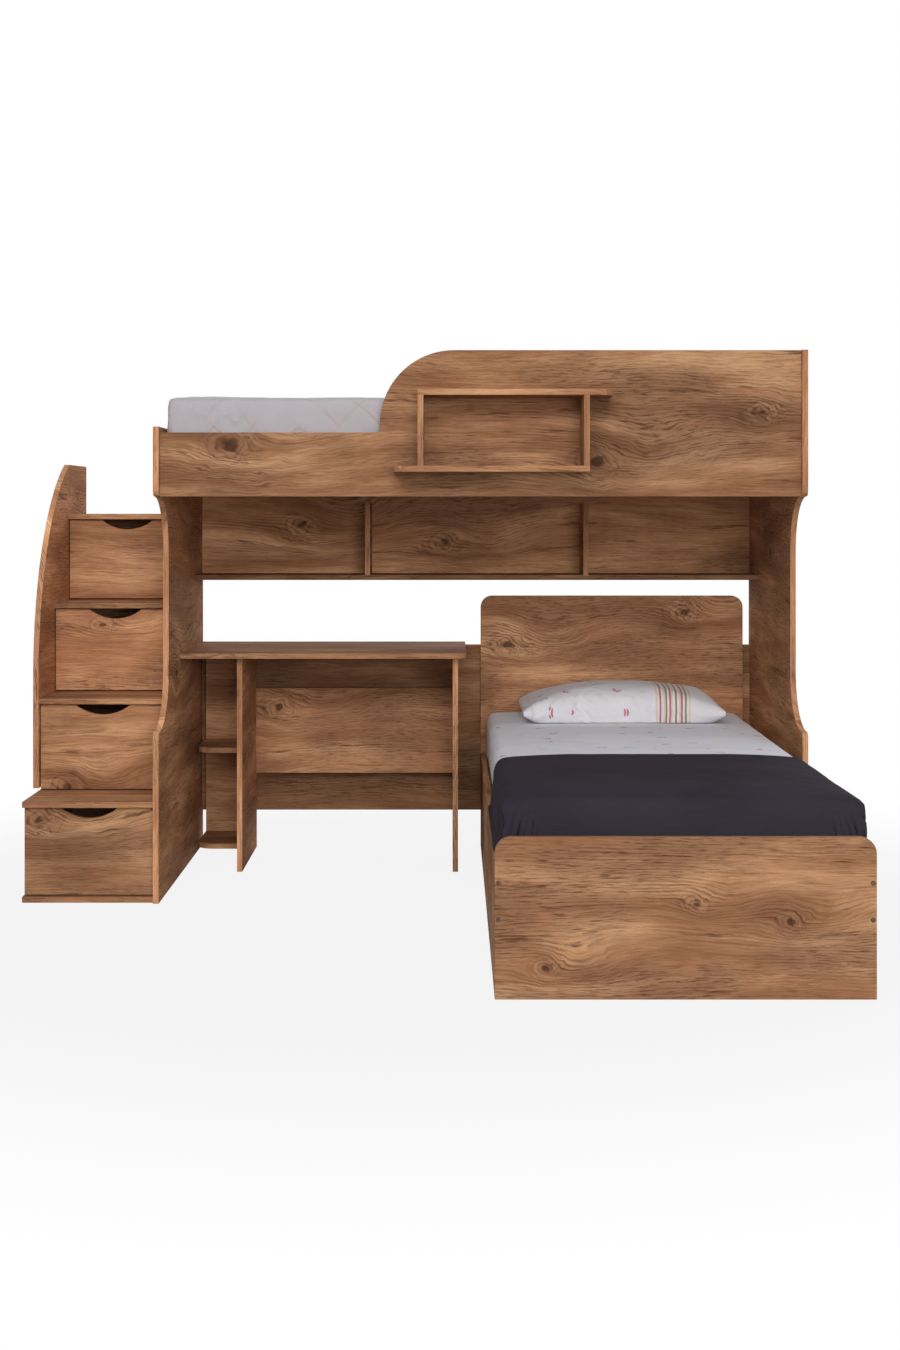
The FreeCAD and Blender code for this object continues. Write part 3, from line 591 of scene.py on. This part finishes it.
# %% Fit, crease and smooth
def fit_into(piece, low, high, sink=0.0):
    """Stretch the piece to a box; the share sink of its height is pressed flat against the bottom."""
    points = [point.co.copy() for point in piece.data.vertices]
    least = [min(values) for values in zip(*points)]
    most = [max(values) for values in zip(*points)]
    for point in piece.data.vertices:
        share = [(point.co[axis] - least[axis]) / (most[axis] - least[axis]) for axis in range(3)]
        share[2] = max(0.0, (share[2] - sink) / (1.0 - sink))
        point.co = [low[axis] + share[axis] * (high[axis] - low[axis]) for axis in range(3)]


def crease(piece, depth, along, across):
    """Raise soft slanted creases on a sheeted piece, of that depth and with those waves per metre."""
    lay = piece.data.attributes["lay"].data
    normals = [point.normal.copy() for point in piece.data.vertices]
    for point, normal, entry in zip(piece.data.vertices, normals, lay):
        u, v, _ = entry.vector
        swell = noise.noise(Vector((u * 2.3, v * 2.3, 1.7)))
        wave = noise.noise(Vector(((u + v) * along, (u - v) * across, 5.1)))
        ridge = (1.0 - min(1.0, abs(wave) * 2.2)) ** 2
        point.co -= normal * depth * (1.0 - ridge * max(0.0, 0.55 + swell))


def shade_smooth(piece):
    for face in piece.data.polygons:
        face.use_smooth = True


def round_off(piece):
    """One smooth subdivision over the finished cloth."""
    shade_smooth(piece)
    rounding = piece.modifiers.new("smooth", "SUBSURF")
    rounding.levels = rounding.render_levels = 1


def span(piece):
    """How far the piece reaches, lowest and highest, in millimetres."""
    axes = list(zip(*(point.co for point in piece.data.vertices)))
    return [[round(pick(values) * 1000) for values in axes] for pick in (min, max)]


print("ready to fit and crease what was filled")

# %% [markdown]
# Printed sheets need to know where a point lay while the cloth was flat. Object coordinates would smear
# the print down the sides, so each sheeted piece carries an attribute, lay: on the top it is the place
# itself, and on a side it runs on past the edge by as far as the point has come down.

# %% Sheet coordinates
def lay_sheet(piece, top):
    lay = piece.data.attributes.new("lay", "FLOAT_VECTOR", "POINT")
    for point, entry in zip(piece.data.vertices, lay.data):
        outward = Vector((point.normal.x, point.normal.y, 0.0))
        if outward.length > 0.001:
            outward *= max(0.0, top - point.co.z) / outward.length
        entry.vector = point.co + outward


def laid(finish):
    """The sheet's own coordinates, along and across, in metres."""
    point = finish.node("ShaderNodeAttribute", {"attribute_name": "lay"}, output="Vector")
    split = finish.node("ShaderNodeSeparateXYZ", {}, {0: point})
    return split.out("X"), split.out("Y")


print("sheet coordinates are read from the attribute lay")

# %% [markdown]
# Sheets are plain cotton. What the eye reads as cotton is a matt surface with a faint weave, and soft
# creases where it is pulled. The weave is far below a pixel, so it only roughens the light; the creases
# are a ridged noise, stretched along the pull, and their crests are darkened a little in colour as painted
# shade. The print on top is thin ink: it changes colour only.

# %% Cotton
def cotton(finish, colour, along, across, pull, depth):
    """Finish a printed cotton surface. Pull is the waves per metre of its creases, depth in metres."""
    weave = finish.noise(finish.vector(along * 900.0, across * 900.0), detail=1.0)
    swell = finish.noise(finish.vector(along * 2.6, across * 2.6, 4.0), detail=1.0)
    turn = swell * 1.2
    wave = finish.noise(finish.vector(along * pull[0] + turn, across * pull[1] - turn, 7.0), detail=2.0)
    ridge = 1.0 - abs(wave * 2.0 - 1.0)
    fold = finish.bump(ridge ** 3.0 * finish.step(swell, 0.35, 0.65), 0.8, depth)
    rough = finish.bump(weave, 0.15, 0.0004, fold)
    # Painted shade: the crests of the creases are darkened a little towards grey in colour, on top of their
    # bump.
    crease_shaded_colour = finish.mix(ridge ** 4.0 * 0.10, colour, paint(150, 148, 156))
    return finish.surface(Base_Color=crease_shaded_colour, Roughness=0.86 + weave * 0.1, Normal=rough, Sheen_Weight=0.15)


# The three leaves of a sprig: middle and rise of the leaf, half its length and half its width, in metres.
LEAVES = ((0.0, 0.0, 0.0150, 0.0040), (0.010, 0.009, 0.009, 0.0034), (-0.010, 0.008, 0.008, 0.0034))


def sprigs(finish, along, across, spacing, share):
    """Scattered three-leaf sprigs: a mask, and a random number that is constant on a sprig."""
    field = finish.vector(along, across)
    cells = finish.node("ShaderNodeTexVoronoi", {"voronoi_dimensions": "2D"},
                        {"Vector": field, "Scale": 1.0 / spacing, "Randomness": 0.75}, "Position")
    chance = finish.node("ShaderNodeSeparateColor", {}, {0: cells.out("Color")})
    away = finish.node("ShaderNodeVectorMath", {"operation": "SUBTRACT"}, {0: field, 1: cells})
    away = finish.node("ShaderNodeVectorRotate", {"rotation_type": "Z_AXIS"},
                       {"Vector": away, "Angle": chance.out("Red") * math.tau})
    split = finish.node("ShaderNodeSeparateXYZ", {}, {0: away})
    mask = 0.0
    for middle, rise, length, width in LEAVES:
        u, v = (split.out("X") - middle) / length, (split.out("Y") - rise) / width
        mask = finish.step(u * u + v * v, 1.25, 0.75) + mask
    shown = finish.step(chance.out("Green"), 1.0 - share, 1.0 - share + 0.01)
    return mask * shown, chance.out("Blue")


def sprig_ink(finish, pick):
    red, lilac, straw = paint(190, 62, 92), paint(150, 150, 180), paint(226, 194, 110)
    stops = [(0.0, red), (0.42, red), (0.44, lilac), (0.74, lilac), (0.76, straw)]
    return finish.node("ShaderNodeValToRGB", {"stops": stops}, {0: pick})


print("cotton and its print are ready")

# %% [markdown]
# The upper mattress wears a pale cover with a faint trellis: two families of slanted lines, so thin in
# ink that they show only as a warm tint. The lower one has a nearly white sheet, scattered with sprigs
# about as long as a thumb, in red, lilac grey and straw.

# %% Sheets
def trellis_sheet(name):
    finish = Finish(name)
    along, across = laid(finish)
    bent = finish.noise(finish.vector(along * 5.0, across * 5.0), detail=1.0) * 0.05
    tint = 0.0
    for slope in (0.9, -0.9):
        line = (along + across * slope + bent) * 7.5
        line = abs(line.math("FRACT", line) - 0.5)
        tint = finish.step(line, 0.07, 0.02) + tint
    patch = finish.noise(finish.vector(along * 6.0, across * 6.0, 2.0), detail=1.0)
    tint = tint * finish.step(patch, 0.38, 0.62)
    colour = finish.mix(tint * 0.55, paint(182, 176, 179), paint(178, 150, 136))
    colour = finish.mix(finish.step(patch, 0.5, 0.8) * 0.35, colour, paint(188, 172, 178))
    return cotton(finish, colour, along, across, pull=(9.0, 5.0), depth=0.010)


def sprig_sheet(name):
    finish = Finish(name)
    along, across = laid(finish)
    mask, pick = sprigs(finish, along, across, spacing=0.125, share=0.72)
    patch = finish.noise(finish.vector(along * 4.0, across * 4.0, 9.0), detail=1.0)
    colour = finish.mix(finish.step(patch, 0.40, 0.70), paint(226, 228, 237), paint(233, 234, 241))
    colour = finish.mix(mask * 0.85, colour, sprig_ink(finish, pick))
    return cotton(finish, colour, along, across, pull=(3.0, 5.0), depth=0.006)


SNUG = 0.010
PRESSURE = 4.0
PRESSED_FLAT = 0.04


def mattress(node, material, depth, radius, snug=0.0, puff=0.0, cell=0.018, cap=0.010):
    """A filled mattress in its sheet, in the space of its solid, with creases of that depth.

    The radius is that of its edges. Snug is by how much it presses out against the rails at its sides,
    and puff by how much a loose cover stands up above it.
    """
    low, high = (Vector(corner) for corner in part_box(node))
    low.x, high.x, high.z = low.x - snug, high.x + snug, high.z + puff
    inset = Vector((0.0, 0.0, cap))
    piece = new_piece(f"{node}_sheeted", rounded_block(low, high - inset, radius), material)
    cut_into_cells(piece, cell)
    lay_sheet(piece, high.z - inset.z)
    blow_up(piece, PRESSURE, cap)
    crease(piece, depth, along=9.0, across=3.0)
    fit_into(piece, low, high, sink=PRESSED_FLAT)
    round_off(piece)
    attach(piece, "bed_frame")
    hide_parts(node)
    print(piece.name, len(piece.data.vertices), "points, span", span(piece))
    return piece


mattress("upper_mattress", trellis_sheet("trellis_sheet"), depth=0.009, radius=0.034, puff=0.018)
lower = mattress("lower_mattress", sprig_sheet("sprig_sheet"), depth=0.002, radius=0.026, snug=SNUG)

# %% [markdown]
# A pillow is two flat panels sewn round their rim and stuffed. So it starts as a thin flat envelope that
# is larger than the pillow, and the air does the sewing room's work: the middle rises, the rim is drawn
# in between the corners, and small puckers run in from the seam. One end of a pillow case is open; its
# hem is left without air there, so it stays a flat flap. Last, the pillow settles on the sheet.

# %% Pillow
HEM = 0.036
SPARE_CLOTH = 1.06
ENVELOPE_THICKNESS = 0.018
PILLOW_CELL = 0.008
PILLOW_SINK = 0.30
BAND_START, BAND_WIDTH = 0.115, 0.125
CASE = paint(222, 220, 222)


def pillow_case(name, length):
    """White cotton with one band of stripes across and a few sprigs."""
    finish = Finish(name)
    along, across = laid(finish)
    mask, pick = sprigs(finish, along + 0.03, across, spacing=0.095, share=0.60)
    mask = mask * finish.step(along, 0.06, 0.04)
    colour = finish.mix(mask * 0.8, CASE, sprig_ink(finish, pick))
    band = (along - BAND_START) / BAND_WIDTH
    inside = finish.step(band, 0.0, 0.01) * finish.step(band, 1.0, 0.99)
    red, olive = paint(178, 58, 78), paint(116, 112, 62)
    straw, brown = paint(221, 196, 160), paint(120, 92, 78)
    inks = [straw, CASE, red, CASE, straw, olive, CASE, red, straw, CASE, brown, CASE, straw, red, CASE,
            olive, CASE, straw]
    stops = [(place / len(inks), ink) for place, ink in enumerate(inks)]
    stripes = finish.node("ShaderNodeValToRGB", {"stops": stops, "between": "CONSTANT"}, {0: band})
    colour = finish.mix(inside * 0.85, colour, stripes)
    stitch = finish.step(abs(along + length / 2 - HEM), 0.0016, 0.0006)
    colour = finish.mix(stitch * 0.4, colour, paint(160, 156, 160))
    return cotton(finish, colour, along, across, pull=(8.0, 11.0), depth=0.006)


low, high = (Vector(corner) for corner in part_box("pillow"))
envelope = Vector((high.x - low.x, high.y - low.y, 0.0)) * SPARE_CLOTH
envelope.z = ENVELOPE_THICKNESS
pillow = new_piece("pillow_stuffed", rounded_block(-envelope / 2, envelope / 2, radius=0.006),
                   pillow_case("pillow_case", envelope.x))
cut_into_cells(pillow, PILLOW_CELL)
lay_sheet(pillow, -1.0)
air = pillow.vertex_groups.new(name="air")
stuffed = (envelope.x - HEM) / 2
# The air is full in the middle and fades to none at the seams and in the hem.
for point in pillow.data.vertices:
    ahead = min(1.0, abs(point.co.x - HEM / 2) / stuffed)
    aside = min(1.0, abs(point.co.y) * 2 / envelope.y)
    air.add([point.index], math.sqrt((1 - ahead ** 2.6) * (1 - aside ** 2.2)), "REPLACE")
blow_up(pillow, PRESSURE, cap=0.12, frames=18, slack=0.03, group="air")
pillow.vertex_groups.clear()
print(pillow.name, len(pillow.data.vertices), "points, span", span(pillow))

# %% Settle the pillow
fit_into(pillow, low, high, PILLOW_SINK)
round_off(pillow)
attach(pillow, "bed_frame")
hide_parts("pillow")
print("settled, span", span(pillow))

# %% [markdown]
# The throw is a plain dark cloth over the foot of the lower bed. It is cut flat, laid over the mattress
# and bent down at the sides and the foot, and then Blender's cloth lets it hang: the spare cloth at the
# two corners, which on a made bed is stuffed down behind the footboard, gathers into folds by itself. The
# cloth remembers its flat size in a shape key, so that bending it down doesn't stretch it.

# %% Sizes of the throw
low, high = (Vector(corner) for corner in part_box("lower_mattress"))
low.x, high.x = low.x - SNUG, high.x + SNUG
THROW_EDGE = -0.2545  # where its far edge lies along the bed
BEND = 0.030  # radius of the bend over the mattress's edges
LIFT = 0.006  # how far above the mattress the cloth starts to fall
SIDE_DROP, FOOT_DROP = 0.158, 0.125
CORNER = 0.10  # radius of its two corners at the foot
SPREAD = 0.20  # share of the spare cloth that a corner leans outwards by
THROW_CELL = 0.0125
FALL_FRAMES = 40


def run_over(distance, edge):
    """How far out and down a point lies, that far along a cloth which bends down at an edge."""
    start = edge - BEND
    arc = BEND * math.pi / 2
    if distance <= start:
        return distance, 0.0
    if distance <= start + arc:
        angle = (distance - start) / BEND
        return start + BEND * math.sin(angle), BEND * (1 - math.cos(angle))
    return edge, BEND + distance - start - arc


def cloth_reach(edge, drop):
    """The flat length of cloth that covers as far as an edge and then hangs by drop."""
    return edge - BEND + BEND * math.pi / 2 + drop - BEND


middle = (low.x + high.x) / 2
side_edge = (high.x - low.x) / 2 + LIFT
foot_edge = THROW_EDGE - low.y + LIFT
half_width = cloth_reach(side_edge, SIDE_DROP)
length = cloth_reach(foot_edge, FOOT_DROP)
print("throw cut to", round(half_width * 2, 3), "by", round(length, 3), "m")

# %% [markdown]
# The finish is a smooth dense cotton in a dark blue grey, with hardly any shine, a fine slub that runs
# with the weft, and a line of stitches round the hem.

# %% Throw cloth
def throw_cloth(name):
    finish = Finish(name)
    along, across = laid(finish)
    slub = finish.noise(finish.vector(along * 14.0, across * 420.0), detail=2.0)
    weft = finish.noise(finish.vector(along * 700.0, across * 700.0, 3.0), detail=1.0)
    patch = finish.noise(finish.vector(along * 3.0, across * 3.0, 6.0), detail=2.0)
    ends = across.math("MINIMUM", across * -1.0, across + length)
    edge = ends.math("MINIMUM", half_width - abs(along), ends)
    stitch = finish.step(abs(edge - 0.016), 0.0022, 0.0010)
    beat = (along + across) * 190.0
    stitch = stitch * finish.step(beat.math("FRACT", beat), 0.25, 0.35)
    colour = finish.mix(finish.step(patch, 0.35, 0.65), paint(47, 43, 50), paint(52, 48, 56))
    colour = finish.mix(finish.step(slub, 0.52, 0.72) * 0.5, colour, paint(57, 53, 62))
    colour = finish.mix(stitch * 0.5, colour, paint(68, 64, 75))
    relief = slub * 0.4 + weft * 0.6 - stitch
    return finish.surface(Base_Color=colour, Roughness=0.86 + slub * 0.12, Specular_IOR_Level=0.08,
                          Normal=finish.bump(relief, 0.2, 0.0006))


print("throw cloth ready to cut")

# %% [markdown]
# The cloth is a plain grid of small cells. Its two foot corners are rounded, and then each point is moved
# from the flat cut to where it lies over the mattress, before anything falls.

# %% Cut and bend the throw
shape = bmesh.new()
across_cells, along_cells = round(half_width * 2 / THROW_CELL), round(length / THROW_CELL)
bmesh.ops.create_grid(shape, x_segments=across_cells, y_segments=along_cells, size=0.5)
bmesh.ops.scale(shape, vec=(half_width * 2, length, 1), verts=shape.verts)
bmesh.ops.translate(shape, vec=(0, -length / 2, 0), verts=shape.verts)
throw = new_piece("throw_draped", shape, throw_cloth("throw_cloth"))
for point in throw.data.vertices:
    aside, ahead = abs(point.co.x) - half_width + CORNER, -point.co.y - length + CORNER
    if min(aside, ahead) > 0:
        pull = max(aside, ahead) / math.hypot(aside, ahead)
        point.co.x = math.copysign(half_width - CORNER + aside * pull, point.co.x)
        point.co.y = CORNER - length - ahead * pull
lay_sheet(throw, -1.0)
cut = [point.co.copy() for point in throw.data.vertices]
for point, flat in zip(throw.data.vertices, cut):
    out, fall = run_over(abs(flat.x), side_edge)
    ahead, drop = run_over(-flat.y, foot_edge)
    spare = min(fall, drop)
    x = middle + math.copysign(out + spare * SPREAD, flat.x)
    point.co = (x, THROW_EDGE - ahead, high.z + LIFT - math.hypot(fall, drop))
print(throw.name, len(throw.data.vertices), "points")

# %% [markdown]
# While the cloth falls, it needs something to fall on: the filled mattress itself, and plain blocks that
# stand in for the footboard and the rails. They stop being obstacles as soon as the throw has come to
# rest.

# %% Let the throw fall
def obstacle(piece, friction=12.0):
    piece.modifiers.new("obstacle", "COLLISION")
    piece.collision.thickness_outer = 0.002
    piece.collision.thickness_inner = 0.02
    piece.collision.cloth_friction = friction


blocks = []
for node in ("footboard", "bed_left_rail", "bed_right_rail"):
    block = rounded_block(*(Vector(corner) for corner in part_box(node)), radius=0.004)
    blocks.append(new_piece(f"{node}_block", block, throw.data.materials[0]))
for piece in (lower, *blocks):
    obstacle(piece)
throw.shape_key_add(name="hung")
flat_key = throw.shape_key_add(name="flat")
for entry, flat in zip(flat_key.data, cut):
    entry.co = flat
cloth = throw.modifiers.new("fall", "CLOTH")
cloth.settings.rest_shape_key = flat_key
cloth.settings.quality = 6
cloth.settings.mass = 0.25
cloth.settings.bending_stiffness = 0.6
cloth.settings.air_damping = 4.0
cloth.collision_settings.distance_min = 0.004
cloth.collision_settings.collision_quality = 3
for step in range(1, FALL_FRAMES + 1):
    scene.frame_set(step)
settle(throw)
scene.frame_set(1)
lower.modifiers.remove(lower.modifiers["obstacle"])
for block in blocks:
    bpy.data.objects.remove(block)
print(throw.name, "fallen, span", span(throw))

# %% [markdown]
# On a made bed the spare cloth at the two corners is stuffed down tight, which leaves broad folds that fan
# out from the corner, and beside it a few narrow pleats. Both are finer than the cloth that fell, so the
# throw is first cut into smaller cells, and once more at the corners.

# %% Cut the throw finer
CORNER_OUT, CORNER_IN, CORNER_UP = 0.04, 0.13, 0.03


def past_corner(flat):
    """How far a point of the flat cloth lies inside the bed's side, and past its foot."""
    return side_edge - abs(flat.x), -flat.y - foot_edge


def in_corner(flat):
    inboard, below = past_corner(flat)
    return -CORNER_OUT < inboard < CORNER_IN and below > -CORNER_UP


finer = throw.modifiers.new("finer", "SUBSURF")
finer.levels = finer.render_levels = 1
settle(throw)
shape = bmesh.new()
shape.from_mesh(throw.data)
lay = shape.verts.layers.float_vector["lay"]
corners = [edge for edge in shape.edges if all(in_corner(point[lay]) for point in edge.verts)]
bmesh.ops.subdivide_edges(shape, edges=corners, cuts=1, use_grid_fill=True)
shape.to_mesh(throw.data)
shape.free()
print(throw.name, len(throw.data.vertices), "points")

# %% [markdown]
# A pleat is a wave over the distance from the corner, and a fold is one over the angle round it. Both only
# ever push the cloth outwards, away from the mattress. Where a pair of values is named, the effect grows
# from nothing at the first to its full size at the second.

# %% Pleats and folds
PLEAT_WIDTH, PLEAT_DEPTH, PLEAT_LEAN = 0.018, 0.011, 0.22
PLEAT_START, PLEAT_END, PLEAT_DROP = (0.0, 0.03), (0.115, 0.075), (0.0, 0.06)
STRAY_WAVES, STRAY_SEED = 3.0, 6.0
FOLD_DEPTH, FOLD_WAVES = 0.009, 9.0
SWAY, SWAY_WAVES = 4.0, 17.0
FAN_INSET = 0.05
FAN_START, FAN_END = (-0.5, 0.0), (2.1, 1.5)
FAN_NEAR, FAN_FAR = (0.02, 0.08), (0.26, 0.14)


def smooth(value, low, high):
    share = min(1.0, max(0.0, (value - low) / (high - low)))
    return share * share * (3 - 2 * share)


def pleat_height(flat, inboard, below):
    """Narrow pleats beside the corner: rounded ridges with sharp grooves between them."""
    stray = noise.noise(Vector((flat.x * STRAY_WAVES, flat.y * STRAY_WAVES, STRAY_SEED)))
    lean = inboard + below * PLEAT_LEAN
    groove = (abs((lean / PLEAT_WIDTH + stray) % 1.0 - 0.5) * 2) ** 2
    shown = smooth(lean, *PLEAT_START) * smooth(lean, *PLEAT_END) * smooth(below, *PLEAT_DROP)
    return PLEAT_DEPTH * shown * (1 - groove)


def fold_height(inboard, below):
    """Broad folds that fan out round a point a little inside the corner."""
    aside, ahead = FAN_INSET - inboard, FAN_INSET + below
    away, angle = math.hypot(aside, ahead), math.atan2(ahead, aside)
    shown = smooth(angle, *FAN_START) * smooth(angle, *FAN_END)
    shown *= smooth(away, *FAN_NEAR) * smooth(away, *FAN_FAR)
    wave = math.sin(angle * FOLD_WAVES + SWAY * math.sin(away * SWAY_WAVES))
    return FOLD_DEPTH * shown * (0.5 + 0.5 * wave)


print("folds up to", FOLD_DEPTH, "m and pleats up to", PLEAT_DEPTH, "m")

# %% [markdown]
# The hanging sides stand off a little towards their hem. Near the footboard, what would lie outside the
# rails is drawn in, and the hem above the rails eases up so that it lies on them.

# %% Fold the corners
FLARE, FLARE_HANG = 0.009, (0.03, 0.15)
TUCKED, LOOSE, TUCK_ZONE = 0.458, 0.476, (-0.98, -0.86)
PAST_LIMIT = 0.1  # share that is left of what lies past the limit
FOOT_LIMIT = -1.0185
RAIL_CLEAR, EASE = 0.002, 0.020
UNDERSIDE = -0.2  # a normal that points further down than this is turned over
CLOTH_THICKNESS = 0.0035
rail_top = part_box("bed_left_rail")[1][2] + RAIL_CLEAR


def draw_in(point, flat):
    """Keep a point of the hanging cloth off the footboard, between the rails and above them."""
    hang = run_over(abs(flat.x), side_edge)[1]
    reach = abs(point.co.x - middle) + FLARE * smooth(hang, *FLARE_HANG)
    limit = TUCKED + (LOOSE - TUCKED) * smooth(point.co.y, *TUCK_ZONE)
    reach = min(reach, limit + max(0.0, reach - limit) * PAST_LIMIT)
    point.co.x = middle + math.copysign(reach, flat.x)
    point.co.y = max(point.co.y, FOOT_LIMIT)
    over_rail = smooth(reach, TUCKED - EASE, TUCKED)
    low_hem = min(0.0, (point.co.z - rail_top - EASE) / EASE)
    point.co.z += over_rail * EASE * (math.exp(low_hem) - 1 - low_hem)


flats = [entry.vector.copy() for entry in throw.data.attributes["lay"].data]
normals = [point.normal.copy() for point in throw.data.vertices]
for point, normal, flat in zip(throw.data.vertices, normals, flats):
    inboard, below = past_corner(flat)
    outward = normal if normal.z > UNDERSIDE else -normal
    point.co += outward * (fold_height(inboard, below) + pleat_height(flat, inboard, below))
    draw_in(point, flat)

thick = throw.modifiers.new("thick", "SOLIDIFY")
thick.thickness = CLOTH_THICKNESS
thick.offset = 1.0
shade_smooth(throw)
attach(throw, "bed_frame")
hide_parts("throw")
half_width * 2
print(throw.name, "span", span(throw))
